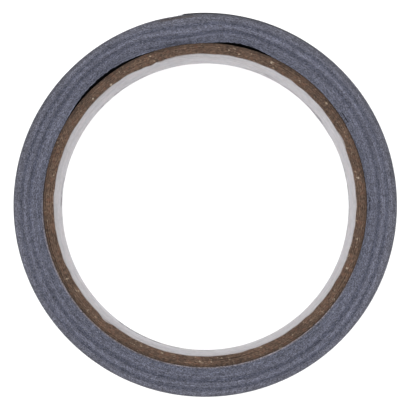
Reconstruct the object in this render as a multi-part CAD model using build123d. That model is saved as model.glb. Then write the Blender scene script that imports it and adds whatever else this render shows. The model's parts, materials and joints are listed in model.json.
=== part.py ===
from build123d import *
import math
import os

# A roll of duct tape on a paperboard core, lying on one end face.
#
# Frame: the origin is the centre of the lower end face, and +Z runs up the roll's axis.
# The web winds outwards anticlockwise, seen from +Z, and starts and ends at END_ANGLE
# (degrees anticlockwise from +X). It is one strip, held as three lengths: the wound web,
# the outer wrap round it, and the free end, which bends. All lengths are in millimetres.

# --- Driving dimensions ---------------------------------------------------------------

ROLL_WIDTH = 48.0  # slit width of the tape, and length of the core
BORE_RADIUS = 38.1  # 3 inch core

LINER_THICKNESS = 0.15  # smooth white paper that lines the bore
PLY_THICKNESS = 0.5  # one strip of chipboard
PLY_COUNT = 5
SEAM_GAP = 0.5  # open butt joint between two turns of a ply's strip, along the round
SEAM_TWIST = 70.0  # how far a seam winds round the core from end to end
FIRST_SEAM_ANGLE = 200.0  # where the innermost ply's seam starts on the lower end

ADHESIVE_THICKNESS = 0.07
SCRIM_THICKNESS = 0.05
FILM_THICKNESS = 0.08
WRAP_GAP = 0.005  # air held between one wrap and the next
WRAP_COUNT = 37  # full turns from the web's start to its end
END_ANGLE = 97.0

SEGMENT_COUNT = 6  # the free end bends at as many lines
SEGMENT_ANGLE = 7.0  # arc of the roll that each segment covers
SEGMENT_LIFT = 0.08  # the loosened end stands this far off the wrap below it
SEGMENT_GAP = 0.04  # slot between two segments, at a bend line
EDGE_INSET = 0.1  # the loose end's slit edges sit this far inside the roll's faces

# --- Worked out from the driving dimensions -------------------------------------------

CORE_RADIUS = BORE_RADIUS + LINER_THICKNESS + PLY_COUNT * PLY_THICKNESS
TAPE_THICKNESS = ADHESIVE_THICKNESS + SCRIM_THICKNESS + FILM_THICKNESS
WRAP_PITCH = TAPE_THICKNESS + WRAP_GAP
WOUND_ANGLE = WRAP_COUNT * 360.0
FREE_ANGLE = SEGMENT_COUNT * SEGMENT_ANGLE
LAYERS = {
    "adhesive": (0.0, ADHESIVE_THICKNESS),
    "scrim": (ADHESIVE_THICKNESS, ADHESIVE_THICKNESS + SCRIM_THICKNESS),
    "film": (ADHESIVE_THICKNESS + SCRIM_THICKNESS, TAPE_THICKNESS),
}


# --- Paperboard core ------------------------------------------------------------------


def tube(inner_radius, thickness):
    """A tube round the roll's axis, as long as the roll is wide."""
    ring = Circle(inner_radius + thickness) - Circle(inner_radius)
    return extrude(ring, ROLL_WIDTH)


def seam_cutter(inner_radius, start_angle):
    """A thin blade that twists up the core and leaves a ply's helical butt joint."""
    overrun = 1.0
    length = ROLL_WIDTH + 2 * overrun
    twist_per_mm = SEAM_TWIST / ROLL_WIDTH
    middle = inner_radius + PLY_THICKNESS / 2
    blade = Rot(0, 0, start_angle - overrun * twist_per_mm) * Pos(middle, 0, -overrun)
    section = blade * Rectangle(PLY_THICKNESS + 2 * overrun, SEAM_GAP)
    return Solid.extrude_linear_with_rotation(
        section.face(), (0, 0, -overrun), (0, 0, length), length * twist_per_mm
    )


def core_ply(index):
    """One chipboard ply: a strip wound in a helix, its edges butted together."""
    inner_radius = BORE_RADIUS + LINER_THICKNESS + index * PLY_THICKNESS
    start_angle = FIRST_SEAM_ANGLE + index * 360.0 / PLY_COUNT
    return tube(inner_radius, PLY_THICKNESS) - seam_cutter(inner_radius, start_angle)


# --- Wound web ------------------------------------------------------------------------


def winding_centre(half_turn):
    """Centre of one half-turn arc. Centres alternate about the axis, so arcs meet."""
    reach = WRAP_PITCH / 4 * (-1 if half_turn % 2 == 0 else 1)
    angle = math.radians(END_ANGLE)
    return Vector(reach * math.cos(angle), reach * math.sin(angle))


def winding_radius(half_turn):
    """Radius of the web's inner surface on one half-turn arc."""
    first = CORE_RADIUS + WRAP_GAP + WRAP_PITCH / 4
    return first + half_turn * WRAP_PITCH / 2


def winding_point(wound_angle, height):
    """Point on the winding, at a height above the web's inner surface."""
    half_turn = math.ceil(wound_angle / 180) - 1
    radius = winding_radius(half_turn) + height
    angle = math.radians(END_ANGLE + wound_angle)
    offset = Vector(radius * math.cos(angle), radius * math.sin(angle))
    return winding_centre(half_turn) + offset


def winding_arcs(start, end, height):
    """Tangent arcs along the winding from one wound angle to another."""
    arcs = []
    half_turn = math.floor(start / 180)
    while half_turn * 180 < end:
        low = max(start, half_turn * 180)
        high = min(end, half_turn * 180 + 180)
        radius = winding_radius(half_turn) + height
        centre = winding_centre(half_turn)
        arcs.append(CenterArc(centre, radius, END_ANGLE + low, high - low))
        half_turn += 1
    return arcs


def ribbon(start, end, low, high, inset=0.0):
    """A layer of the web between two wound angles and two heights in its thickness."""
    inner = winding_arcs(start, end, low)
    outer = winding_arcs(start, end, high)
    start_edge = Line(inner[0] @ 0, outer[0] @ 0)
    end_edge = Line(inner[-1] @ 1, outer[-1] @ 1)
    outline = make_face([*inner, end_edge, *outer, start_edge])
    return extrude(Pos(0, 0, inset) * outline, ROLL_WIDTH - 2 * inset)


# --- Free end of the web --------------------------------------------------------------


def bend_angle(index):
    """Wound angle of the line about which a segment of the free end bends."""
    return WOUND_ANGLE - FREE_ANGLE + index * SEGMENT_ANGLE


def bend_line(index):
    """Foot of a bend line, which stands on the outer face of the loosened web."""
    return winding_point(bend_angle(index), TAPE_THICKNESS + SEGMENT_LIFT)


def free_segment(index, layer):
    """One layer of one segment, between its bend line and the next."""
    low, high = LAYERS[layer]
    half_gap = math.degrees(SEGMENT_GAP / 2 / winding_radius(2 * WRAP_COUNT - 1))
    return ribbon(
        bend_angle(index) + half_gap,
        bend_angle(index + 1) - half_gap,
        low + SEGMENT_LIFT,
        high + SEGMENT_LIFT,
        EDGE_INSET,
    )


# --- Every piece, under the name of its node ------------------------------------------


def build_pieces():
    pieces = {"core_liner": tube(BORE_RADIUS, LINER_THICKNESS)}
    for index in range(PLY_COUNT):
        pieces[f"core_ply_{index + 1}"] = core_ply(index)
    for layer, (low, high) in LAYERS.items():
        wrap_start = bend_angle(0) - 360.0
        pieces[f"web_{layer}"] = ribbon(0.0, wrap_start, low, high)
        pieces[f"outer_wrap_{layer}"] = ribbon(wrap_start, bend_angle(0), low, high)
    for index in range(SEGMENT_COUNT):
        for layer in LAYERS:
            pieces[f"free_end_{layer}_{index + 1}"] = free_segment(index, layer)
    return pieces


def main():
    os.makedirs("parts", exist_ok=True)
    for name, piece in build_pieces().items():
        export_step(piece, f"parts/{name}.step")


main()
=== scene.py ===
import json
import math

import bmesh
import bpy
import numpy as np
from mathutils import Matrix, Vector, noise


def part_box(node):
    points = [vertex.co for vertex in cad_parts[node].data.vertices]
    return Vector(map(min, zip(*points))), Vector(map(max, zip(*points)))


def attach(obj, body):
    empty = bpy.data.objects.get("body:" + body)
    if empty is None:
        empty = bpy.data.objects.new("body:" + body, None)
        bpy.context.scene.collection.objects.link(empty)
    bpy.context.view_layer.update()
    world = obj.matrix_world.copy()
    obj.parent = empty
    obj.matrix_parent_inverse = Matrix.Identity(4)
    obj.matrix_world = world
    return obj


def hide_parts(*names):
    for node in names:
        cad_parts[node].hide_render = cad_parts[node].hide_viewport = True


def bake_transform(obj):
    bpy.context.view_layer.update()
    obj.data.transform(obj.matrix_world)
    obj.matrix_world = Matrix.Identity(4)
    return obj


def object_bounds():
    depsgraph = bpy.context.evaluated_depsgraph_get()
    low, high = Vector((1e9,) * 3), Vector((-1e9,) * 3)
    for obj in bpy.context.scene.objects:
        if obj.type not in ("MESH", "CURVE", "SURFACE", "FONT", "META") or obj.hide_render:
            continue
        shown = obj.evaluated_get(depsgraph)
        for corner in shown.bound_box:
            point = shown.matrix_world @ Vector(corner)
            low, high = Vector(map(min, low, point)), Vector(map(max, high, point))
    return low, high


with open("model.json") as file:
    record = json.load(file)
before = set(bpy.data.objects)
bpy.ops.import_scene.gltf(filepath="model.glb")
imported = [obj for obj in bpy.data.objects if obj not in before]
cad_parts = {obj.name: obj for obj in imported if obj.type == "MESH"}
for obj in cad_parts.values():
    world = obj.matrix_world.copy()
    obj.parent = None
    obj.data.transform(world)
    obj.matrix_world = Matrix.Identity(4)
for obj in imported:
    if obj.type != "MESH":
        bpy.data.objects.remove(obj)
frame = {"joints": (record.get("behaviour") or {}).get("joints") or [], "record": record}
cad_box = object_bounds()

# Duct tape roll, lying on one end face. Lengths are metres, and angles are radians
# anticlockwise from +X about the roll's axis unless a name ends in _deg.

MM = 0.001

# --- Sizes, from the frame ------------------------------------------------------------

WIDTH = cad_box[1].z - cad_box[0].z
BORE_RADIUS = frame["record"]["mounts"][0]["dims"]["r_mm"] * MM
PLY_COUNT = 5
LINER_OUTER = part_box("core_liner")[1].x
PLY_OUTER = [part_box(f"core_ply_{k + 1}")[1].x for k in range(PLY_COUNT)]
CORE_RADIUS = PLY_OUTER[-1]

WRAPS = 37
WRAP_PITCH = 0.205 * MM
WRAP_GAP = 0.005 * MM
LAYERS = {"adhesive": (0.0, 0.07 * MM), "scrim": (0.07 * MM, 0.12 * MM), "film": (0.12 * MM, 0.20 * MM)}
TAPE_THICKNESS = LAYERS["film"][1]
END_ANGLE = math.radians(97)
SEGMENTS = len(frame["joints"])
SEGMENT_TURNS = 7 / 360
FREE_TURNS = SEGMENTS * SEGMENT_TURNS
FREE_LIFT = 0.07 * MM  # the loosened end stands this far off the wrap below it

CORE_FLARE = 0.19 * MM  # the core's outer edge is rolled out this far at the upper end
SEAM_TWIST = math.radians(70) / WIDTH  # how fast the core's seams wind up the bore
BAND_SPAN = 7.7 * MM  # the slit edge's light and dark bands lie within this of the core
WARP_SPACING = 1.35 * MM  # yarns that run along the tape
WEFT_SPACING = 2.8 * MM  # yarns that run across it
YARN_WIDTH = 0.32 * MM
# How the yarns wander from a straight grid, as (share of their spacing, wavelength / 2 pi, phase).
WARP_SWAY = ((0.16, 23 * MM, 0.0), (0.07, 6.1 * MM, 1.3))
WEFT_SWAY = ((0.16, 9 * MM, 0.7), (0.05, 2.7 * MM, 0.0))


# --- Mesh helpers ---------------------------------------------------------------------


def wrap_radius(turns):
    """Radius of the web's inner surface after so many turns from its start."""
    return CORE_RADIUS + WRAP_GAP + WRAP_PITCH * turns


def length_at(turns):
    """Length of web wound in so many turns."""
    return 2 * math.pi * (CORE_RADIUS * turns + WRAP_PITCH * turns**2 / 2)


def turns_at(length):
    """Turns that a length of web makes: length_at solved for the turns."""
    per_turn = length / (2 * math.pi)
    return (np.sqrt(CORE_RADIUS**2 + 2 * WRAP_PITCH * per_turn) - CORE_RADIUS) / WRAP_PITCH


def new_piece(name, points, faces, material, sharp_deg=50):
    """A closed mesh object with outward normals, smooth except at its real edges."""
    mesh = bpy.data.meshes.new(name)
    mesh.from_pydata(np.reshape(points, (-1, 3)).tolist(), [], [list(f) for f in faces])
    work = bmesh.new()
    work.from_mesh(mesh)
    bmesh.ops.recalc_face_normals(work, faces=work.faces)
    work.to_mesh(mesh)
    work.free()
    mesh.shade_smooth()
    mesh.set_sharp_from_angle(angle=math.radians(sharp_deg))
    mesh.materials.append(material)
    piece = bpy.data.objects.new(name, mesh)
    bpy.context.scene.collection.objects.link(piece)
    return piece


def swept_faces(stations, around, ring):
    """Quads between closed sections, joined end to start on a ring and capped otherwise."""
    faces = []
    for n in range(stations if ring else stations - 1):
        here = n * around
        there = (n + 1) % stations * around
        for m in range(around):
            after = (m + 1) % around
            faces.append((here + m, there + m, there + after, here + after))
    if not ring:
        faces.append(tuple(range(around)))
        faces.append(tuple(range((stations - 1) * around, stations * around)))
    return faces


def polar(radius, angle, z):
    """Points from cylindrical coordinates."""
    radius, angle, z = np.broadcast_arrays(radius, angle, z)
    return np.stack([radius * np.cos(angle), radius * np.sin(angle), z], axis=-1)


def smoothstep(value, low, high):
    t = np.clip((value - low) / (high - low), 0, 1)
    return t * t * (3 - 2 * t)


def bump_at(angle, centre_deg, half_width_deg):
    """1 at an angle, falling smoothly to 0 half a width either side of it."""
    away = np.degrees(np.angle(np.exp(1j * (angle - math.radians(centre_deg)))))
    return np.cos(np.clip(away / half_width_deg, -1, 1) * math.pi / 2) ** 2


def wander(angle, low, high, seed):
    """Periodic unevenness about 1 high, made of waves from low to high per turn."""
    waves = np.random.default_rng(seed)
    total = np.zeros_like(angle)
    for n in range(low, high + 1):
        total += np.cos(n * angle + waves.uniform(0, 2 * math.pi)) * waves.uniform(0.4, 1)
    return total / math.sqrt(high - low + 1)


def pitted(points, size):
    """Perlin noise at each point, in features of a size."""
    flat = np.reshape(points, (-1, 3)) / size
    values = [noise.noise(Vector(p)) for p in flat]
    return np.reshape(values, points.shape[:-1])


# --- Shader helpers -------------------------------------------------------------------


class Shader:
    """A node material, with short calls to add nodes and link them."""

    def __init__(self, name, **sockets):
        self.material = bpy.data.materials.new(name)
        self.material.use_nodes = True
        self.tree = self.material.node_tree
        self.surface = self.tree.nodes["Principled BSDF"]
        for key, value in sockets.items():
            self.surface.inputs[key.replace("_", " ").title().replace("Ior", "IOR")].default_value = value

    def add(self, kind, settings=None, **inputs):
        made = self.tree.nodes.new("ShaderNode" + kind)
        for key, value in (settings or {}).items():
            setattr(made, key, value)
        for key, value in inputs.items():
            socket = made.inputs[int(key[1:])] if key[1:].isdigit() else made.inputs[key.replace("_", " ")]
            if isinstance(value, bpy.types.NodeSocket):
                self.tree.links.new(value, socket)
            else:
                socket.default_value = value
        return made

    def math(self, operation, a, b=0.0, c=0.0, clamp=False):
        settings = {"operation": operation, "use_clamp": clamp}
        return self.add("Math", settings, i0=a, i1=b, i2=c).outputs[0]

    def waves(self, value, terms):
        """A sum of sine waves: terms are (amount, wavelength / 2 pi, phase)."""
        total = 0.0
        for amount, long, phase in terms:
            swing = self.math("SINE", self.math("MULTIPLY_ADD", value, 1 / long, phase))
            total = self.math("MULTIPLY_ADD", swing, amount, total)
        return total

    def place(self):
        """Position on the object as x, y and z sockets, and the whole vector."""
        whole = self.add("TexCoord").outputs["Object"]
        split = self.add("SeparateXYZ", Vector=whole)
        return whole, split.outputs

    def polar(self):
        """Angle about the roll's axis, and radius from it."""
        _, (x, y, _) = self.place()
        squares = self.math("ADD", self.math("MULTIPLY", x, x), self.math("MULTIPLY", y, y))
        return self.math("ARCTAN2", y, x), self.math("SQRT", squares)

    def stretched(self, vector, x=1.0, y=1.0, z=1.0):
        return self.add("Mapping", Vector=vector, Scale=(x, y, z)).outputs[0]

    def noise(self, vector, scale, detail=2.0, roughness=0.5):
        made = self.add("TexNoise", Vector=vector, Scale=scale, Detail=detail, Roughness=roughness)
        return made.outputs[0]

    def between(self, value, low, high):
        """0 at low, 1 at high, and straight in between."""
        return self.add("MapRange", {"clamp": True}, i0=value, i1=low, i2=high).outputs[0]

    def ramp(self, value, *stops):
        """Colour or grey by value: stops are (position, grey or colour)."""
        made = self.add("ValToRGB", Fac=value)
        bar = made.color_ramp
        while len(bar.elements) < len(stops):
            bar.elements.new(0.5)
        for element, (position, colour) in zip(bar.elements, stops):
            element.position = position
            colour = colour if isinstance(colour, tuple) else (colour,) * 3
            element.color = (*colour, 1.0)
        return made.outputs[0]

    def mix(self, amount, a, b, blend="MIX"):
        made = self.add("Mix", {"data_type": "RGBA", "blend_type": blend})
        for index, value in ((0, amount), (6, a), (7, b)):
            if isinstance(value, bpy.types.NodeSocket):
                self.tree.links.new(value, made.inputs[index])
            elif index:
                made.inputs[index].default_value = (*value, 1.0)
            else:
                made.inputs[index].default_value = value
        return made.outputs[2]

    def near(self, whole, point, reach):
        """1 at a point, falling to 0 a reach away."""
        away = self.add("VectorMath", {"operation": "DISTANCE"}, i0=whole, i1=point).outputs["Value"]
        return self.math("SUBTRACT", 1.0, self.math("DIVIDE", away, reach), clamp=True)

    def finish(self, colour=None, roughness=None, height=None, distance=0.0001, strength=1.0):
        if colour is not None:
            self.tree.links.new(colour, self.surface.inputs["Base Color"])
        if roughness is not None:
            self.tree.links.new(roughness, self.surface.inputs["Roughness"])
        if height is not None:
            bump = self.add("Bump", Height=height, Distance=distance, Strength=strength)
            self.tree.links.new(bump.outputs[0], self.surface.inputs["Normal"])
        return self.material


# --- Materials ------------------------------------------------------------------------


def paperboard():
    """Grey-brown chipboard: felted fibres in layers, with pale and dark specks."""
    s = Shader("chipboard", roughness=0.92, specular_ior_level=0.25)
    whole, (x, y, _) = s.place()
    _, radius = s.polar()
    layered = s.add("CombineXYZ", X=s.math("MULTIPLY", x, 1500), Y=s.math("MULTIPLY", y, 1500),
                    Z=s.math("MULTIPLY", radius, 4200)).outputs[0]
    fibres = s.noise(layered, 1.0, 5.0, 0.62)
    clumps = s.noise(whole, 900.0, 3.0, 0.6)
    patches = s.noise(whole, 160.0, 2.0, 0.5)
    colour = s.ramp(fibres, (0.34, (0.023, 0.0138, 0.0095)), (0.50, (0.059, 0.0380, 0.0272)),
                    (0.68, (0.128, 0.0850, 0.0600)))
    rust = s.ramp(s.noise(whole, 1100.0, 2.0, 0.6), (0.52, 0.0), (0.66, 1.0))
    colour = s.mix(s.math("MULTIPLY", rust, 0.45), colour, (0.105, 0.052, 0.034))
    tint = s.ramp(patches, (0.3, (0.80, 0.79, 0.79)), (0.7, (1.12, 1.10, 1.08)))
    colour = s.mix(1.0, colour, tint, "MULTIPLY")
    pale = s.ramp(clumps, (0.63, 0.0), (0.70, 1.0))
    colour = s.mix(s.math("MULTIPLY", pale, 0.55), colour, (0.29, 0.23, 0.17))
    rim = s.ramp(s.between(radius, BORE_RADIUS, CORE_RADIUS), (0.03, 0.80), (0.18, 1.0), (0.76, 0.98),
                 (0.88, 0.70), (1.0, 0.54))
    colour = s.mix(1.0, colour, rim, "MULTIPLY")
    grit = s.noise(whole, 2600.0, 1.0)
    dark = s.ramp(grit, (0.28, 1.0), (0.36, 0.0))
    colour = s.mix(s.math("MULTIPLY", dark, 0.6), colour, (0.012, 0.009, 0.008))
    for angle_deg, radius_mm, reach in ((128.0, 38.55, 0.55), (65.0, 39.7, 0.5), (136.5, 39.0, 0.45),
                                        (10.0, 39.3, 0.5), (336.0, 39.2, 0.5)):
        spot = polar(radius_mm * MM, math.radians(angle_deg), WIDTH)
        near = s.near(whole, tuple(spot), reach * MM)
        amount = s.math("MULTIPLY", s.ramp(near, (0.25, 0.0), (0.7, 1.0)), 0.6)
        colour = s.mix(amount, colour, (0.34, 0.28, 0.22))
    height = s.math("ADD", fibres, s.math("MULTIPLY", clumps, 0.6))
    return s.finish(colour, height=height, distance=0.00012, strength=0.9)


def liner_paper():
    """Smooth white kraft liner, a little grey and dusty, with print marks worn by rubbing."""
    s = Shader("liner_paper", roughness=0.62, specular_ior_level=0.35)
    whole, (_, _, z) = s.place()
    strip = s.add("Attribute", {"attribute_name": "Strip"}).outputs["Vector"]
    turn = s.add("SeparateXYZ", Vector=strip).outputs[0]
    drawn = s.noise(s.stretched(strip, 330, 55, 1), 1.0, 4.0, 0.6)
    fibre = s.noise(s.stretched(whole, 500, 500, 900), 1.0, 4.0, 0.6)
    cloud = s.noise(s.stretched(whole, 130, 130, 170), 1.0, 4.0, 0.65)
    scuff = s.noise(s.stretched(whole, 330, 330, 150), 1.0, 4.0, 0.7)
    hue = s.noise(s.stretched(whole, 260, 260, 120), 1.0, 2.0, 0.6)
    colour = s.ramp(hue, (0.36, (0.438, 0.434, 0.462)), (0.50, (0.460, 0.446, 0.464)),
                    (0.64, (0.478, 0.446, 0.460)))
    colour = s.mix(1.0, colour, s.ramp(cloud, (0.36, 0.90), (0.64, 1.07)), "MULTIPLY")
    colour = s.mix(1.0, colour, s.ramp(scuff, (0.36, 0.93), (0.62, 1.05)), "MULTIPLY")
    by_seam = s.ramp(turn, (0.0, 1.0), (0.05, 1.0), (0.10, 0.4), (0.94, 0.4), (1.0, 1.0))
    streaked = s.mix(1.0, colour, s.ramp(drawn, (0.36, 0.87), (0.62, 1.06)), "MULTIPLY")
    colour = s.mix(by_seam, colour, streaked)
    slid = s.noise(s.stretched(whole, 900, 900, 110), 1.0, 3.0, 0.65)
    colour = s.mix(1.0, colour, s.ramp(slid, (0.36, 0.91), (0.50, 1.0), (0.64, 1.05)), "MULTIPLY")
    # Darker along the lapped seam: partly glue, partly painted shadow of the lap's step.
    glue = s.ramp(turn, (0.0, 0.42), (0.005, 0.62), (0.010, 0.90), (0.016, 0.68), (0.022, 0.94),
                  (0.030, 0.74), (0.038, 1.0), (0.950, 1.0), (0.958, 0.86), (0.966, 1.0), (0.985, 1.0),
                  (1.0, 0.78))
    colour = s.mix(1.0, colour, glue, "MULTIPLY")
    foot = s.between(z, 12.0 * MM, 5.0 * MM)
    broken = s.ramp(s.noise(s.stretched(whole, 420, 420, 130), 1.0, 3.0), (0.45, 0.0), (0.50, 1.0))
    parts = 0.0
    for angle_deg, reach_mm in ((2.0, 14.0), (57.0, 17.0), (128.0, 15.0), (176.0, 13.0), (254.0, 24.0)):
        spot = polar(BORE_RADIUS, math.radians(angle_deg), 3 * MM)
        near = s.ramp(s.near(whole, tuple(spot), reach_mm * MM), (0.15, 0.0), (0.5, 1.0))
        parts = s.math("MAXIMUM", parts, near)
    # Broken dark dashes low in the bore at a few angles; round 254 degrees they are painted shadow at the
    # bore's lower end.
    foot_dashes_and_rim_shadow = s.math("MULTIPLY", s.math("MULTIPLY", foot, broken), s.math("MULTIPLY", parts, 0.36))
    colour = s.mix(foot_dashes_and_rim_shadow, colour, (0.075, 0.068, 0.075))
    angle, _ = s.polar()
    # Thin dark bands low in the bore; the one at -116 degrees is painted shadow at the bore's lower end,
    # the others plain dark lines.
    dark_lines_and_rim_shadow = ((-116.0, 13.0, 5.5), (42.0, 8.0, 5.5), (178.0, 8.0, 7.0), (66.0, 5.0, 12.0))
    for angle_deg, half_deg, z_mm in dark_lines_and_rim_shadow:
        aside = s.math("ABSOLUTE", s.math("SUBTRACT", angle, math.radians(angle_deg)))
        above = s.math("ABSOLUTE", s.math("SUBTRACT", z, z_mm * MM))
        dark_line = s.math("MULTIPLY", s.between(aside, math.radians(half_deg), math.radians(half_deg - 3)),
                        s.between(above, 3.2 * MM, 1.8 * MM))
        dark_line = s.math("MULTIPLY", dark_line, s.math("MULTIPLY_ADD", broken, 0.4, 0.3))
        colour = s.mix(dark_line, colour, (0.075, 0.072, 0.082))
    marks = (
        ((16.5, 24.0, 2.2), (0.42, 0.20, 0.22), 0.5),
        ((20.5, 20.0, 2.4), (0.22, 0.26, 0.45), 0.5),
        ((24.5, 27.0, 2.4), (0.30, 0.30, 0.33), 0.5),
        ((92.0, 8.0, 3.0), (0.30, 0.18, 0.34), 0.55),
    )
    rub = s.ramp(s.noise(whole, 1400.0, 2.0), (0.42, 0.0), (0.56, 1.0))
    for (angle_deg, z_mm, reach), ink, most in marks:
        spot = polar(BORE_RADIUS, math.radians(angle_deg), z_mm * MM)
        near = s.ramp(s.near(whole, tuple(spot), reach * MM), (0.0, 0.0), (0.6, 1.0))
        amount = s.math("MULTIPLY", s.math("MULTIPLY", near, rub), most)
        colour = s.mix(amount, colour, ink)
    frayed = s.math("ADD", z, s.math("MULTIPLY", s.math("SUBTRACT", scuff, 0.5), 3 * MM))
    frayed = s.between(frayed, WIDTH - 2.0 * MM, WIDTH - 0.6 * MM)
    colour = s.mix(s.math("MULTIPLY", frayed, 0.75), colour, (0.135, 0.108, 0.100))
    dirt = s.ramp(s.noise(whole, 900.0, 3.0, 0.7), (0.68, 0.0), (0.76, 1.0))
    colour = s.mix(s.math("MULTIPLY", dirt, 0.30), colour, (0.20, 0.18, 0.18))
    rough = s.ramp(fibre, (0.3, 0.50), (0.7, 0.72))
    return s.finish(colour, rough, s.math("ADD", fibre, cloud), 0.00004, 0.6)


def slit_edge():
    """Cut edges of the wound web: film, gauze and adhesive smeared together by the blade."""
    s = Shader("slit_edge", roughness=0.70, specular_ior_level=0.12)
    whole, (x, y, z) = s.place()
    radius = s.add("Attribute", {"attribute_name": "Wound"}).outputs["Fac"]

    def along(step_mm, layer_mm):
        """Coordinates that change slowly round the roll and fast from wrap to wrap."""
        slow = 1 / (step_mm * MM)
        return s.add("CombineXYZ", X=s.math("MULTIPLY", x, slow), Y=s.math("MULTIPLY", y, slow),
                     Z=s.math("MULTIPLY", radius, 1 / (layer_mm * MM))).outputs[0]

    sway = s.noise(s.stretched(whole, 22, 22, 0), 1.0, 1.0, 0.4)
    wandering = s.math("ADD", radius, s.math("MULTIPLY", s.math("SUBTRACT", sway, 0.5), 0.0016))
    facing = s.math("ADD", s.math("MULTIPLY", x, 0.342), s.math("MULTIPLY", y, 0.940))
    drift = s.between(facing, -18 * MM, 14 * MM)
    wandering = s.math("ADD", wandering, s.math("MULTIPLY", drift, 0.42 * MM))
    span = s.math("DIVIDE", s.math("SUBTRACT", wandering, CORE_RADIUS), BAND_SPAN, clamp=True)
    bands = s.ramp(
        span,
        (0.00, 1.02), (0.08, 0.94), (0.17, 0.98), (0.26, 1.00), (0.33, 1.14), (0.38, 1.10),
        (0.43, (0.74, 0.76, 0.80)), (0.50, (0.66, 0.68, 0.73)), (0.56, 1.00), (0.61, 1.30), (0.66, 1.24),
        (0.72, (0.76, 0.78, 0.82)), (0.77, (0.73, 0.75, 0.79)), (0.83, 1.10), (0.90, 1.19), (0.96, 1.04),
        (1.00, 0.90),
    )
    strength = s.ramp(s.noise(s.stretched(whole, 17, 17, 0), 1.0, 1.0), (0.36, 0.62), (0.54, 1.0))
    folded = s.near(whole, tuple(polar(43.5 * MM, math.radians(98), WIDTH)), 16 * MM)
    strength = s.math("MAXIMUM", strength, s.ramp(folded, (0.2, 0.0), (0.6, 1.0)))
    bands = s.mix(strength, (1.0, 1.0, 1.0), bands)
    tint = s.ramp(span, (0.0, (0.0612, 0.0650, 0.0885)), (0.35, (0.0630, 0.0652, 0.0870)),
                  (0.75, (0.0635, 0.0655, 0.0865)), (1.0, (0.0668, 0.0672, 0.0835)))
    bands = s.mix(1.0, tint, bands, "MULTIPLY")
    # Paler, pinkish edge of the first wraps by the core, on one side of the roll.
    side = s.math("ADD", s.math("MULTIPLY", x, -6.0), s.math("MULTIPLY", y, -24.0))
    pale_first_wrap_edge = s.between(radius, CORE_RADIUS + 0.55 * MM, CORE_RADIUS + 0.15 * MM)
    pale_first_wrap_edge = s.math("MULTIPLY", pale_first_wrap_edge, s.ramp(side, (0.05, 0.0), (0.5, 1.0)))
    bands = s.mix(s.math("MULTIPLY", pale_first_wrap_edge, 0.6), bands, (0.165, 0.135, 0.128))
    streak = s.noise(along(5.0, 0.22), 1.0, 4.0, 0.62)
    hair = s.noise(along(1.0, 0.10), 1.0, 2.0, 0.6)
    smear = s.noise(along(30.0, 0.50), 1.0, 2.0, 0.5)
    speck = s.noise(along(0.42, 0.22), 1.0, 3.0, 0.75)
    mottle = s.noise(whole, 900.0, 2.0, 0.6)
    colour = s.mix(1.0, bands, s.ramp(streak, (0.32, 0.76), (0.68, 1.24)), "MULTIPLY")
    colour = s.mix(1.0, colour, s.ramp(hair, (0.32, 0.76), (0.68, 1.24)), "MULTIPLY")
    colour = s.mix(1.0, colour, s.ramp(smear, (0.34, 0.86), (0.66, 1.14)), "MULTIPLY")
    colour = s.mix(1.0, colour, s.ramp(mottle, (0.34, 0.86), (0.66, 1.14)), "MULTIPLY")
    colour = s.mix(1.0, colour, s.ramp(speck, (0.37, 0.36), (0.63, 1.64)), "MULTIPLY")
    # Pale flecks: partly fibre ends, partly painted glints off the adhesive.
    fibre_and_glint_flecks = s.ramp(s.noise(whole, 1500.0, 2.0), (0.68, 0.0), (0.75, 1.0))
    colour = s.mix(s.math("MULTIPLY", fibre_and_glint_flecks, 0.25), colour, (0.22, 0.23, 0.26))
    # Dark patch at the outer rim by the cut end: partly a dark edge, partly painted shadow of the lifted
    # end.
    stain_and_tip_shadow = s.near(whole, tuple(polar(wrap_radius(WRAPS), math.radians(98.5), WIDTH)), 6.5 * MM)
    stain_and_tip_shadow = s.math("MULTIPLY", s.ramp(stain_and_tip_shadow, (0.0, 0.0), (0.5, 1.0)),
                     s.between(radius, wrap_radius(WRAPS - 4), wrap_radius(WRAPS - 2)))
    colour = s.mix(s.math("MULTIPLY", stain_and_tip_shadow, 0.8), colour, (0.034, 0.027, 0.025))
    # Painted shade: faces lying more than a fraction of a millimetre inside either end of the web, such as
    # the walls of the nicks, go near black.
    depth = s.math("SUBTRACT", WIDTH / 2, s.math("ABSOLUTE", s.math("SUBTRACT", z, WIDTH / 2)))
    deep_shade = s.ramp(s.math("MULTIPLY", depth, 1 / (2.0 * MM), clamp=True), (0.1, 0.0), (0.6, 1.0))
    colour = s.mix(deep_shade, colour, (0.030, 0.031, 0.038))
    rough = s.ramp(streak, (0.3, 0.50), (0.7, 0.74))
    height = s.math("ADD", streak, s.math("MULTIPLY", speck, 0.5))
    return s.finish(colour, rough, height, 0.00006, 0.8)


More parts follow.
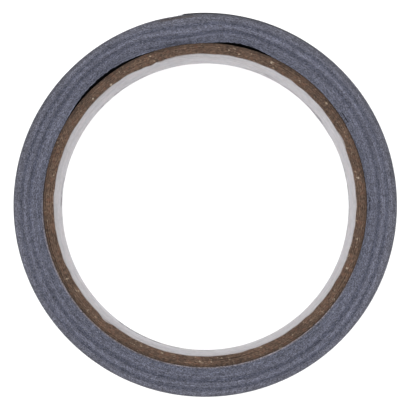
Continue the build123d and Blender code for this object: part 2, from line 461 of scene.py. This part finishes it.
def web_surface(name, face, edge, rough, fleck, relief):
    """A face of the unrolled web. Attribute Unrolled is (length, height, 1 on a slit edge)."""
    s = Shader(name, specular_ior_level=0.5)
    place = s.add("Attribute", {"attribute_name": "Unrolled"}).outputs["Vector"]
    length, across, on_edge = s.add("SeparateXYZ", Vector=place).outputs
    flat = s.add("CombineXYZ", X=length, Y=across, Z=0.0).outputs[0]
    warp = s.math("ADD", s.math("MULTIPLY", across, 1 / WARP_SPACING), s.waves(length, WARP_SWAY))
    weft = s.math("ADD", s.math("MULTIPLY", length, 1 / WEFT_SPACING), s.waves(across, WEFT_SWAY))
    on_warp = s.between(s.math("PINGPONG", warp, 0.5), 0.62 * YARN_WIDTH / WARP_SPACING, 0.0)
    on_weft = s.between(s.math("PINGPONG", weft, 0.5), 0.62 * YARN_WIDTH / WEFT_SPACING, 0.0)
    yarns = s.math("MAXIMUM", on_warp, s.math("MULTIPLY", on_weft, 0.9))
    yarns = s.math("MULTIPLY", yarns, s.math("SUBTRACT", 1.0, on_edge))
    grain = s.noise(flat, 5200.0, 2.0, 0.55)
    calender = s.noise(s.stretched(flat, 90, 1500, 1), 1.0, 3.0, 0.5)
    cloud = s.noise(flat, 70.0, 3.0, 0.55)
    colour = s.mix(1.0, face, s.ramp(grain, (0.30, 1 - fleck), (0.70, 1 + fleck)), "MULTIPLY")
    colour = s.mix(1.0, colour, s.ramp(calender, (0.30, 0.93), (0.70, 1.07)), "MULTIPLY")
    colour = s.mix(1.0, colour, s.ramp(cloud, (0.30, 0.92), (0.70, 1.06)), "MULTIPLY")
    # Lighter over the yarns: the film is thinner there, and partly a painted sheen on the raised yarns.
    lighter = s.mix(1.0, colour, (1.22, 1.22, 1.21), "MULTIPLY")
    colour = s.mix(s.math("MULTIPLY", yarns, 0.35), colour, lighter)
    edge_streak = s.noise(s.stretched(place, 380, 5000, 1), 1.0, 3.0, 0.6)
    edge_colour = s.mix(1.0, edge, s.ramp(edge_streak, (0.25, 0.68), (0.75, 1.32)), "MULTIPLY")
    last = length_at(WRAPS)
    # Darker slit edge just short of the cut end: partly a dark edge, partly painted shadow of the lifted
    # end.
    stain_and_tip_shadow = s.between(length, last - 9 * MM, last - 3 * MM)
    edge_colour = s.mix(s.math("MULTIPLY", stain_and_tip_shadow, 0.7), edge_colour, (0.036, 0.028, 0.024))
    colour = s.mix(on_edge, colour, edge_colour)
    roughness = s.ramp(cloud, (0.3, rough - 0.05), (0.7, rough + 0.08))
    roughness = s.mix(on_edge, roughness, (0.62, 0.62, 0.62))
    height = s.math("ADD", s.math("MULTIPLY", grain, 0.35), s.math("MULTIPLY", calender, 0.6))
    height = s.math("ADD", height, s.math("MULTIPLY", yarns, 1.0))
    return s.finish(colour, roughness, height, 0.00005, relief)


def yarn():
    """Spun polyester and cotton, off-white, greyed by the adhesive."""
    s = Shader("scrim_yarn", roughness=0.85, specular_ior_level=0.2)
    whole, _ = s.place()
    twist = s.noise(s.stretched(whole, 2500, 2500, 900), 1.0, 3.0, 0.6)
    soak = s.noise(whole, 240.0, 2.0)
    colour = s.ramp(twist, (0.30, (0.105, 0.107, 0.122)), (0.70, (0.235, 0.238, 0.255)))
    colour = s.mix(1.0, colour, s.ramp(soak, (0.35, 0.65), (0.65, 1.15)), "MULTIPLY")
    return s.finish(colour, height=twist, distance=0.00003, strength=0.8)


CHIPBOARD = paperboard()
LINER = liner_paper()
SLIT_EDGE = slit_edge()
FILM = web_surface("silver_film", (0.150, 0.157, 0.178), (0.072, 0.074, 0.088), 0.36, 0.10, 0.5)
ADHESIVE = web_surface("adhesive", (0.215, 0.213, 0.222), (0.060, 0.062, 0.078), 0.30, 0.14, 0.9)
YARN = yarn()


# --- Paperboard core ------------------------------------------------------------------


def bore_edge_shift(angle):
    """How far the core's inner edge is pushed outward at the upper end, or inward below 0."""
    burr = -0.55 * MM * bump_at(angle, 111, 9) * (0.75 + 0.25 * wander(angle, 60, 90, 5))
    dent = 0.38 * MM * bump_at(angle, 25, 5)
    scoop = 0.55 * MM * bump_at(angle, 229, 4.5)
    return burr + dent + scoop + 0.085 * MM * wander(angle, 5, 60, 6)


def crack_width(boundary, angle):
    """How far two plies have come apart at the upper end, by the ply below the boundary."""
    if boundary == 4:
        return 0.09 * MM * smoothstep(np.degrees(angle) % 360, 178, 190) * (
            1 - smoothstep(np.degrees(angle) % 360, 206, 218)
        ) * (1 + 0.3 * wander(angle, 20, 60, 7))
    if boundary == 2:
        return 0.13 * MM * bump_at(angle, 280, 12) + 0.10 * MM * bump_at(angle, 31, 3)
    if boundary == 3:
        return 0.10 * MM * bump_at(angle, 332, 9) + 0.08 * MM * bump_at(angle, 60, 7)
    return 0.0 * angle


def near_top(z, reach):
    """1 on the upper end, falling to 0 a reach below it."""
    return smoothstep(z, WIDTH - reach, WIDTH)


def make_ply(index):
    """One chipboard strip: a helical C, its butt joint open by half a millimetre."""
    inner = LINER_OUTER if index == 0 else PLY_OUTER[index - 1]
    outer = PLY_OUTER[index]
    stations = 480
    joint = 0.25 * MM / outer
    turn = np.linspace(joint, 2 * math.pi - joint, stations)[:, None]
    start = math.radians(200 + 72 * index)
    ease = 0.045 * MM
    thick = outer - inner
    across = np.array([0.0, ease, 0.34 * thick, 0.67 * thick, thick - ease, thick])
    depth = np.array([0.07, 0.015, 0.0, 0.0, 0.015, 0.07]) * MM
    levels = np.array([0.4, 3, 6, 9, 12, 15, 18, 21, 24, 27, 30, 33, 36, 39, 42, 44.5, 46.5, 47.5]) * MM
    sides = len(levels)
    radius = np.concatenate([inner + across, np.full(sides, outer), inner + across[::-1],
                             np.full(sides, inner)])
    z = np.concatenate([depth, levels, WIDTH - depth[::-1], levels[::-1]])
    angle = start + turn + SEAM_TWIST * z[None, :]
    radius = np.broadcast_to(radius, angle.shape).copy()
    z = np.broadcast_to(z, angle.shape).copy()
    share = (radius - inner) / thick
    whole_share = (radius - BORE_RADIUS) / (CORE_RADIUS - BORE_RADIUS)
    radius += bore_edge_shift(angle) * near_top(z, 2.6 * MM) * np.clip(1 - 1.5 * whole_share, 0, 1) ** 1.5
    gape = near_top(z, 1.6 * MM)
    radius += crack_width(index, angle) * (1 - share) * gape / 2
    radius -= crack_width(index + 1, angle) * share * gape / 2
    if index == PLY_COUNT - 1:
        radius += CORE_FLARE * share * near_top(z, 3 * MM)
        slack = 0.02 + 0.05 * bump_at(angle, 183, 40) ** 0.5 + 0.035 * bump_at(angle, 10, 45)
        radius -= slack * MM * share * gape * (1 + 0.4 * wander(angle, 8, 30, 9))
    points = polar(radius, angle, z)
    fuzz = pitted(points[:, :6], 0.8 * MM) * 0.045 * MM + 0.03 * MM
    points[:, :6, 2] += np.clip(fuzz, 0, None)
    fuzz = pitted(points[:, 24:30], 0.7 * MM) * 0.06 * MM - 0.045 * MM
    fuzz += pitted(points[:, 24:30], 0.25 * MM) * 0.03 * MM
    points[:, 24:30, 2] += np.clip(fuzz, None, 0) - (0.02 * MM if index in (1, 3) else 0)
    faces = swept_faces(stations, points.shape[1], ring=False)
    piece = new_piece(f"core_ply_{index + 1}_board", points, faces, CHIPBOARD)
    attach(piece, "roll")
    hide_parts(f"core_ply_{index + 1}")


def make_liner():
    """Paper strip wound in a helix, its edge lapped over the turn before."""
    stations = 560
    lap = math.radians(9)
    turn = np.linspace(0, 2 * math.pi + lap, stations)[:, None]
    paper = 0.10 * MM
    levels = np.concatenate([[0.12, 0.5], np.linspace(2, 46, 23), [47.3, 47.8]]) * MM
    rows = len(levels)
    inner_side = levels[::-1]
    z = np.concatenate([levels, inner_side])
    is_inner = np.concatenate([np.zeros(rows), np.ones(rows)])
    angle = math.radians(30) + turn + SEAM_TWIST * z[None, :]
    over = smoothstep(turn, 2 * math.pi - math.radians(2.5), 2 * math.pi + math.radians(0.5))
    radius = LINER_OUTER - 0.005 * MM - is_inner * paper - over * 0.115 * MM
    radius = np.broadcast_to(radius, angle.shape).copy()
    z = np.broadcast_to(z, angle.shape).copy()
    radius += bore_edge_shift(angle) * near_top(z, 2.4 * MM)
    radius += 0.02 * MM * wander(angle + z * 40, 3, 14, 11) * np.sin(z / WIDTH * math.pi)
    top_rows = slice(rows - 1, rows + 1)
    ragged = 0.10 * MM * wander(angle[:, top_rows], 30, 110, 12) - 0.08 * MM
    z[:, top_rows] += np.clip(ragged, -0.35 * MM, 0.08 * MM)
    foot = np.abs(wander(angle[:, [0, -1]], 40, 120, 13)) * 0.08 * MM
    z[:, [0, -1]] += foot
    points = polar(radius, angle, z)
    faces = swept_faces(stations, 2 * rows, ring=False)
    piece = new_piece("core_liner_paper", points, faces, LINER, 70)
    share = np.broadcast_to(turn / (2 * math.pi + lap), z.shape)
    strip = np.stack([share, z, 0 * z], axis=-1).astype(np.float32)
    piece.data.attributes.new("Strip", "FLOAT_VECTOR", "POINT").data.foreach_set("vector", strip.ravel())
    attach(piece, "roll")
    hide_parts("core_liner")


# --- Wound web ------------------------------------------------------------------------

STATIONS = 600  # round one turn
FREE_STATIONS = round(FREE_TURNS * STATIONS)
WEB_STATIONS = WRAPS * STATIONS - FREE_STATIONS - STATIONS  # the outer wrap is its own piece
# Nicks cut into the upper end, as (turns from the web's start, angle in degrees, half width in degrees).
NICKS = ((3.73, -0.9, 1.0), (3.73, 1.8, 1.1), (3.82, 31.0, 0.9), (3.82, 33.0, 0.7))
# One wrap's slit edge, as (share of the pitch, depth in mm): gap, adhesive, gauze, film.
EDGE_PROFILE = ((0.0, 0.070), (0.27, 0.020), (0.52, 0.034), (0.80, 0.0))


def wound_angle(turns):
    return END_ANGLE + 2 * math.pi * turns


def bulge(angle, z):
    """How far the first wraps stand off the core, either side of where the web starts."""
    ragged = 1 + 0.13 * wander(angle, 60, 220, 21)
    amount = 0.76 * bump_at(angle, 76.8, 13) ** 0.7 + 0.76 * bump_at(angle, 129, 21.5) ** 0.6
    amount = amount * ragged + 0.05 * bump_at(angle, 31.5, 3) + CORE_FLARE / MM + 0.012
    return amount * MM * (0.35 + 0.65 * smoothstep(z, 0, 0.8 * WIDTH))


def spread(radius, angle, z):
    """Where a wrap really lies: hugging the core in its first turns, and over the bulge."""
    share = np.clip((radius - CORE_RADIUS) / (wrap_radius(WRAPS) - CORE_RADIUS), 0, 1)
    turned = (angle - END_ANGLE) / (2 * math.pi) % 1.0
    hug = WRAP_PITCH * turned * (1 - smoothstep(turned, 0.992, 1.0))
    pressed = 1.45 * MM * bump_at(angle, 98, 15) * 3.4 * share * (1 - share) ** 1.2
    eased = 0.25 * MM * (wander(angle, 2, 5, 24)) * 4 * share * (1 - share)
    inner = bulge(angle, z) * (1 - share) ** 1.15 - hug * (1 - share) ** 3
    return radius + inner - pressed + eased - tip_dip(angle) * share**4


def tip_dip(angle):
    """How far the web's cut end has pressed the wraps below it inward."""
    return 0.06 * MM * bump_at(angle, 99, 9)


def make_web_half(name, top, seed):
    """Half of the wound web's width, closed at mid width, with every wrap's slit edge."""
    M, N, S = STATIONS, WEB_STATIONS, len(EDGE_PROFILE)
    shares = np.array([p[0] for p in EDGE_PROFILE])
    depths = np.array([p[1] for p in EDGE_PROFILE]) * MM
    turns = np.arange(N + 1)[:, None] / M
    radius = wrap_radius(turns) + shares * WRAP_PITCH
    angle = np.broadcast_to(wound_angle(turns), radius.shape)
    random = np.random.default_rng(seed)

    def winding_noise(per_turn, amount):
        knots = random.uniform(-1, 1, int(WRAPS * per_turn) + 2)
        return np.interp(turns[:, 0] * per_turn, np.arange(len(knots)), knots)[:, None] * amount * MM

    depth = depths + 0.05 * MM
    for per_turn, amount in ((0.6, 0.03), (9, 0.014), (70, 0.012)):
        depth = depth + winding_noise(per_turn, amount)
    ripple = np.stack([winding_noise(150, 0.010)[:, 0] for _ in range(S)], axis=1)
    depth = np.clip(depth + ripple, 0.0, None)
    for turn, angle_deg, half_deg in NICKS if top else ():
        here = np.abs(turns - turn) < 0.45
        depth = depth + 1.2 * MM * here * (bump_at(angle, angle_deg, half_deg) > 0.2)
    outer_turns = np.arange(N - M + 1, N + 1) / M
    outer_radius = wrap_radius(outer_turns) + WRAP_PITCH
    outer_angle = wound_angle(outer_turns)
    levels = np.array([24, 28, 32, 36, 40, 43, 45.5, 47.2]) * MM
    columns = np.arange(M + 1)

    def lie(r, a, z):
        height = z if top else WIDTH - z
        return polar(spread(r, a, height), a, height)

    grid = lie(radius, angle, WIDTH - depth).reshape(-1, 3)
    rim = lie(outer_radius, outer_angle, WIDTH - depths[0])
    in_turns = columns / M
    wall = [lie(wrap_radius(in_turns), wound_angle(in_turns), np.full(M + 1, z)) for z in levels]
    out_turns = (N - M + columns) / M
    outside = lie(wrap_radius(out_turns) + WRAP_PITCH * (columns > 0), wound_angle(out_turns),
                  np.full(M + 1, levels[0]))
    outside[0] = lie(wrap_radius(N / M), wound_angle(N / M), levels[0])
    points = np.concatenate([grid, rim, *wall, outside])
    first_rim = len(grid)
    first_wall = first_rim + M
    first_outside = first_wall + len(levels) * (M + 1)

    def at(n, s):
        if s < S:
            return n * S + s
        return (n + M) * S if n + M <= N else first_rim + n - (N - M + 1)

    n = np.arange(N)
    faces = []
    for s in range(S):
        low, high = n * S + s, (n + 1) * S + s
        if s + 1 < S:
            next_low, next_high = low + 1, high + 1
        else:
            both = np.arange(N + 1)
            edge = np.where(both + M <= N, (both + M) * S, first_rim + both - (N - M + 1))
            next_low, next_high = edge[:-1], edge[1:]
        faces += np.stack([low, high, next_high, next_low], axis=1).tolist()
    rows = [first_wall + k * (M + 1) + columns for k in range(len(levels))] + [columns * S]
    for lower, upper in zip(rows[:-1], rows[1:]):
        faces += np.stack([lower[:-1], lower[1:], upper[1:], upper[:-1]], axis=1).tolist()
    for lower, upper in zip(rows[:-2], rows[1:-1]):
        faces.append((lower[0], lower[M], upper[M], upper[0]))
    faces.append((rows[-2][0], rows[-2][M], M * S, *range(S - 1, -1, -1)))
    foot = first_outside + columns
    lip = np.array([at(N - M + j, S) for j in columns])
    faces += np.stack([foot[:-1], foot[1:], lip[1:], lip[:-1]], axis=1).tolist()
    faces.append((foot[0], foot[M], lip[M], *[N * S + s for s in range(S - 1, -1, -1)]))
    floor = rows[0]
    for i in range(M):
        j = (i + FREE_STATIONS) % M
        face = [floor[i], floor[i + 1], foot[j + 1], foot[j]]
        if i == 0:
            face.append(floor[M])
        if j == M - 1:
            face.insert(2, foot[0])
        faces.append(tuple(face))
    piece = new_piece(name, points, [tuple(int(v) for v in f) for f in faces], SLIT_EDGE, 60)
    flat_radius = [radius.ravel(), outer_radius, np.tile(wrap_radius(in_turns), len(levels)),
                   wrap_radius(out_turns) + WRAP_PITCH]
    wound = piece.data.attributes.new("Wound", "FLOAT", "POINT")
    wound.data.foreach_set("value", np.concatenate(flat_radius).astype(np.float32))
    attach(piece, "roll")
    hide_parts("web_film", "web_adhesive")


def make_scrim_ends(name, top, seed):
    """Cut ends of the yarns that run across the web, standing in its slit edge."""
    random = np.random.default_rng(seed)
    length, ends = 0.0, []
    total = length_at(WRAPS)
    while length < total:
        length += WEFT_SPACING * random.uniform(0.75, 1.25)
        ends.append(length)
    turns = turns_at(np.array(ends[:-1]))
    turns = turns[turns < WRAPS - FREE_TURNS - 0.002]
    count = len(turns)
    radius = wrap_radius(turns) + np.mean(LAYERS["scrim"])
    angle = wound_angle(turns)
    half_wide = random.uniform(0.06, 0.16, count) * MM
    half_thick = random.uniform(0.022, 0.040, count) * MM
    lean = random.uniform(-0.12, 0.12, (count, 2)) * MM
    tip = WIDTH - random.uniform(0.002, 0.04, count) * MM
    sections = ((0.30, 1.0, 0.0), (0.07, 1.15, 0.35), (0.0, 0.75, 1.0))
    points = []
    for down, scale, bent in sections:
        z = tip - down * MM
        for a, r in ((-1, -0.6), (0, -1), (1, -0.5), (1, 0.6), (0, 1), (-1, 0.5)):
            shift = a * half_wide * scale + lean[:, 0] * bent
            rr = radius + r * half_thick * scale + lean[:, 1] * bent * 0.3
            height = z if top else WIDTH - z
            place = spread(rr, angle, height)
            points.append(polar(place, angle + shift / radius, height))
    points = np.stack(points, axis=1)
    faces = []
    for c in range(count):
        first = c * 18
        for layer in (0, 6):
            for m in range(6):
                after = (m + 1) % 6
                faces.append((first + layer + m, first + layer + after, first + layer + 6 + after,
                              first + layer + 6 + m))
        faces.append(tuple(first + m for m in range(6)))
        faces.append(tuple(first + 12 + m for m in range(6)))
    piece = new_piece(name, points, faces, YARN, 80)
    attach(piece, "roll")
    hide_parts("web_scrim", "outer_wrap_scrim")


# --- Outer wrap and free end ----------------------------------------------------------


def sway(place, waves):
    return sum(amount * np.sin(place / long + phase) for amount, long, phase in waves)


def gauze(length, z):
    """How far the yarns lift the web's face: 1 on a yarn, 0 between them."""
    warp = z / WARP_SPACING + sway(length, WARP_SWAY)
    weft = length / WEFT_SPACING + sway(z, WEFT_SWAY)
    warp_off = np.abs(warp - np.round(warp)) * WARP_SPACING
    weft_off = np.abs(weft - np.round(weft)) * WEFT_SPACING
    on_warp = np.exp(-((warp_off / YARN_WIDTH) ** 2) * 2.2)
    on_weft = np.exp(-((weft_off / YARN_WIDTH) ** 2) * 2.2)
    return np.maximum(on_warp, 0.8 * on_weft)


def unrolled(piece, length, z, on_edge):
    """Stores each point's place on the flat web, so that its pattern bends with it."""
    values = np.stack(np.broadcast_arrays(length, z, on_edge), axis=-1).astype(np.float32)
    attribute = piece.data.attributes.new("Unrolled", "FLOAT_VECTOR", "POINT")
    attribute.data.foreach_set("vector", values.ravel())


def strip_faces(stations, rows, few):
    """Faces of a web strip: its sides, and a ladder of quads across each end."""
    around = 10 + rows + few
    faces = swept_faces(stations, around, ring=False)
    if few != rows:
        return faces
    faces = faces[:-2]
    for first in (0, (stations - 1) * around):
        outer = first + 5 + np.arange(rows)
        inner = first + around - 1 - np.arange(rows)
        faces.append((*range(first, first + 6), inner[0]))
        faces += np.stack([outer[:-1], outer[1:], inner[1:], inner[:-1]], axis=1).tolist()
        faces.append((*range(first + 4 + rows, first + 10 + rows), inner[-1]))
    return [tuple(int(v) for v in face) for face in faces]


def web_strip(name, turns, low, high, inset, lift, relief_in, relief_out, material, rows=158, few=7):
    """A closed strip of the web, or of one layer of it, between heights low and high."""
    edge = np.array([0.0, 0.22, 0.5, 0.78, 1.0])
    sunk = np.array([0.060, 0.022, 0.034, 0.004, 0.030]) * MM
    across = np.linspace(0.10 * MM, WIDTH - 0.10 * MM, rows)
    across = inset + across * (WIDTH - 2 * inset) / WIDTH
    inside = np.interp(np.linspace(0, rows - 1, few), np.arange(rows), across)
    share = np.concatenate([edge, np.ones(rows), edge[::-1], np.zeros(few)])
    z = np.concatenate([inset + sunk, across, WIDTH - inset - sunk[::-1], inside[::-1]])
    on_edge = np.concatenate([np.ones(5), np.zeros(rows), np.ones(5), np.zeros(few)])
    turns = turns[:, None]
    length = length_at(turns)
    height = low + (high - low) * share + lift[:, None]
    length, z, height = np.broadcast_arrays(length, z, height)
    height = height.copy()
    raised = gauze(length, z) - 1
    height += raised * relief_out * (share > 0.99) * (on_edge < 0.5)
    height -= raised * relief_in * (share < 0.01) * (on_edge < 0.5)
    angle = wound_angle(turns)
    radius = wrap_radius(turns) + height - (tip_dip(angle) if lift.max() == 0 else 0)
    points = polar(radius, angle, z)
    piece = new_piece(name, points, strip_faces(len(turns), rows, few), material, 60)
    unrolled(piece, length, z, on_edge)
    return piece


def make_outer_wrap():
    turns = np.arange(WEB_STATIONS, WEB_STATIONS + STATIONS + 1) / STATIONS
    flat = np.zeros(len(turns))
    film = web_strip("outer_wrap_backing", turns, LAYERS["film"][0], TAPE_THICKNESS, 0.0, flat,
                     0.0, 0.022 * MM, FILM, rows=148)
    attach(film, "roll")
    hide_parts("outer_wrap_film")
    glue = web_strip("outer_wrap_adhesive_coat", turns, 0.0, LAYERS["film"][0] - 0.004 * MM, 0.0, flat,
                     0.0, 0.0, ADHESIVE, rows=28)
    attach(glue, "roll")
    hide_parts("outer_wrap_adhesive")


def yarn_strand(centre, side, up, half_wide, half_thick):
    """Points of a flat six-sided yarn along a line, tapering to its ends."""
    sections = []
    for a, b in ((-1, 0), (-0.5, 1), (0.5, 1), (1, 0), (0.5, -1), (-0.5, -1)):
        sections.append(centre + side * (a * half_wide) + up * (b * half_thick))
    return np.stack(sections, axis=1)


def segment_scrim(name, first, last, lift_at, inset, overhang, seed):
    """Gauze of one length of the free end: yarns along it, and yarns across it."""
    random = np.random.default_rng(seed)
    mid = np.mean(LAYERS["scrim"])
    points, faces = [], []

    def add(strand):
        start = sum(len(p) for p in points)
        count = len(strand)
        points.append(strand.reshape(-1, 3))
        faces.extend(tuple(v + start for v in f) for f in swept_faces(count, 6, ring=False))

    number = int(WIDTH / WARP_SPACING) + 2
    for i in range(number):
        extra = random.uniform(0.2, 1.0) * overhang
        turns = np.linspace(first, last + extra / (2 * math.pi * wrap_radius(WRAPS)), 14)
        length = length_at(turns)
        z = (i - sway(length, WARP_SWAY)) * WARP_SPACING
        if z.min() < inset + 0.2 * MM or z.max() > WIDTH - inset - 0.2 * MM:
            continue
        past = np.clip((turns - last) * 2 * math.pi * wrap_radius(WRAPS), 0, None)
        z = z + past * random.uniform(-0.5, 0.5)
        angle = wound_angle(turns)
        radius = wrap_radius(turns) + mid + lift_at(turns) - past * random.uniform(0.0, 0.25)
        out = np.stack([np.cos(angle), np.sin(angle), 0 * angle], axis=-1)
        add(yarn_strand(polar(radius, angle, z), np.array([0.0, 0.0, 1.0]), out, 0.13 * MM, 0.022 * MM))
    first_weft = math.ceil(length_at(first) / WEFT_SPACING + 0.25)
    last_weft = math.floor(length_at(last) / WEFT_SPACING - 0.25)
    for j in range(first_weft, last_weft + 1):
        z = np.linspace(inset - 0.03 * MM, WIDTH - inset + 0.03 * MM, 60)
        length = (j - sway(z, WEFT_SWAY)) * WEFT_SPACING
        turns = turns_at(length)
        angle = wound_angle(turns)
        radius = wrap_radius(turns) + mid + lift_at(turns)
        out = np.stack([np.cos(angle), np.sin(angle), 0 * angle], axis=-1)
        side = np.stack([-np.sin(angle), np.cos(angle), 0 * angle], axis=-1)
        add(yarn_strand(polar(radius, angle, z), side, out, 0.12 * MM, 0.020 * MM))
    return new_piece(name, np.concatenate(points), faces, YARN, 80)


def make_free_end():
    """The last of the web, a layer at a time, in one length for each joint."""
    start = WRAPS - FREE_TURNS
    inset = 0.1 * MM
    tip = polar(wrap_radius(WRAPS), END_ANGLE, WIDTH / 2)

    def lift_at(turns):
        share = np.clip((turns - start) / FREE_TURNS, 0, 1)
        return FREE_LIFT * (0.15 + 0.85 * smoothstep(share, 0.0, 0.9))

    layers = (
        ("film", LAYERS["film"][0], TAPE_THICKNESS, 0.0, 0.022 * MM, FILM, "backing_film"),
        ("adhesive", 0.0, LAYERS["adhesive"][1], 0.022 * MM, 0.0, ADHESIVE, "adhesive"),
    )
    for k in range(SEGMENTS):
        first, last = start + k * SEGMENT_TURNS, start + (k + 1) * SEGMENT_TURNS
        turns = np.linspace(first, last, 13)
        made = []
        for layer, low, high, relief_in, relief_out, material, slot in layers:
            strip = web_strip(f"free_end_{k + 1}_{layer}", turns, low, high, inset, lift_at(turns),
                              relief_in, relief_out, material, few=158)
            made.append((strip, layer, slot))
        overhang = 1.1 * MM if k == SEGMENTS - 1 else 0.0
        scrim = segment_scrim(f"free_end_{k + 1}_scrim", first, last, lift_at, inset, overhang, 60 + k)
        made.append((scrim, "scrim", "scrim_cloth"))
        for piece, layer, slot in made:
            if k == SEGMENTS - 1 and layer != "scrim":
                ragged_tip(piece, wound_angle(first), END_ANGLE + 2 * math.pi * WRAPS)
            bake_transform(piece)
            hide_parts(f"free_end_{layer}_{k + 1}")


def ragged_tip(piece, first_angle, last_angle):
    """Turns the web's straight cut end into a torn one, by sliding points along it."""
    mesh = piece.data
    points = np.empty(len(mesh.vertices) * 3, np.float32)
    mesh.vertices.foreach_get("co", points)
    points = points.reshape(-1, 3)
    angle = np.arctan2(points[:, 1], points[:, 0])
    share = smoothstep((angle - first_angle % (2 * math.pi)) / (last_angle - first_angle), 0.3, 1.0)
    z = points[:, 2]
    tear = sway(z, ((0.20, 3.7 * MM, 0), (0.16, 1.1 * MM, 1), (0.10, 0.43 * MM, 0)))
    back = (tear - 0.45) * MM * share / wrap_radius(WRAPS)
    radius = np.hypot(points[:, 0], points[:, 1])
    moved = polar(radius, angle + back, z)
    mesh.vertices.foreach_set("co", moved.astype(np.float32).ravel())
    mesh.update()


make_liner()
for ply in range(PLY_COUNT):
    make_ply(ply)
make_web_half("wound_web_upper", True, 31)
make_web_half("wound_web_lower", False, 32)
make_scrim_ends("scrim_ends_upper", True, 41)
make_scrim_ends("scrim_ends_lower", False, 42)
make_outer_wrap()
make_free_end()


# --- Studio ---------------------------------------------------------------------------


def make_floor():
    """A wide pale sweep under the roll."""
    s = Shader("studio_floor", roughness=0.9, specular_ior_level=0.1)
    whole, _ = s.place()
    grain = s.noise(whole, 40.0, 2.0)
    material = s.finish(s.ramp(grain, (0.3, 0.925), (0.7, 0.935)))
    size, steps = 4.0, 24
    line = np.linspace(-size, size, steps + 1)
    points = [(x, y, -0.02 * MM) for y in line for x in line]  # just clear of the roll
    faces = []
    for j in range(steps):
        for i in range(steps):
            a = j * (steps + 1) + i
            faces.append((a, a + 1, a + steps + 2, a + steps + 1))
    mesh = bpy.data.meshes.new("floor")
    mesh.from_pydata(points, [], faces)
    mesh.materials.append(material)
    floor = bpy.data.objects.new("floor", mesh)
    bpy.context.scene.collection.objects.link(floor)


def soft_light(name, place, target, size, power):
    light = bpy.data.lights.new(name, "AREA")
    light.shape = "DISK"
    light.size = size
    light.energy = power
    made = bpy.data.objects.new(name, light)
    made.location = place
    aim = Vector(target) - Vector(place)
    made.rotation_euler = aim.to_track_quat("-Z", "Y").to_euler()
    bpy.context.scene.collection.objects.link(made)


make_floor()
soft_light("overhead", (0.0, 0.03, 1.7), (0, 0, 0.02), 0.9, 46.0)
soft_light("side_fill", (-1.2, -1.0, 0.9), (0, 0, 0.02), 0.8, 6.0)

world = bpy.data.worlds.new("studio")
world.use_nodes = True
world.node_tree.nodes["Background"].inputs["Color"].default_value = (1.0, 1.0, 1.0, 1.0)
world.node_tree.nodes["Background"].inputs["Strength"].default_value = 0.42
bpy.context.scene.world = world
bpy.context.scene.view_settings.view_transform = "Standard"

camera = bpy.data.cameras.new("camera")
camera.lens = 304.3
camera.sensor_width = 36.0
camera.clip_start = 0.05
camera.clip_end = 20.0
seen_from = bpy.data.objects.new("camera", camera)
seen_from.location = (0.0019, -0.0078, 0.923)
ahead = (Vector((0.0, 0.0, WIDTH)) - seen_from.location).normalized()
right = ahead.cross(Vector((0.0, 1.0, 0.0))).normalized()
seen_from.rotation_euler = Matrix((right, right.cross(ahead), -ahead)).transposed().to_euler()
bpy.context.scene.collection.objects.link(seen_from)
bpy.context.scene.camera = seen_from
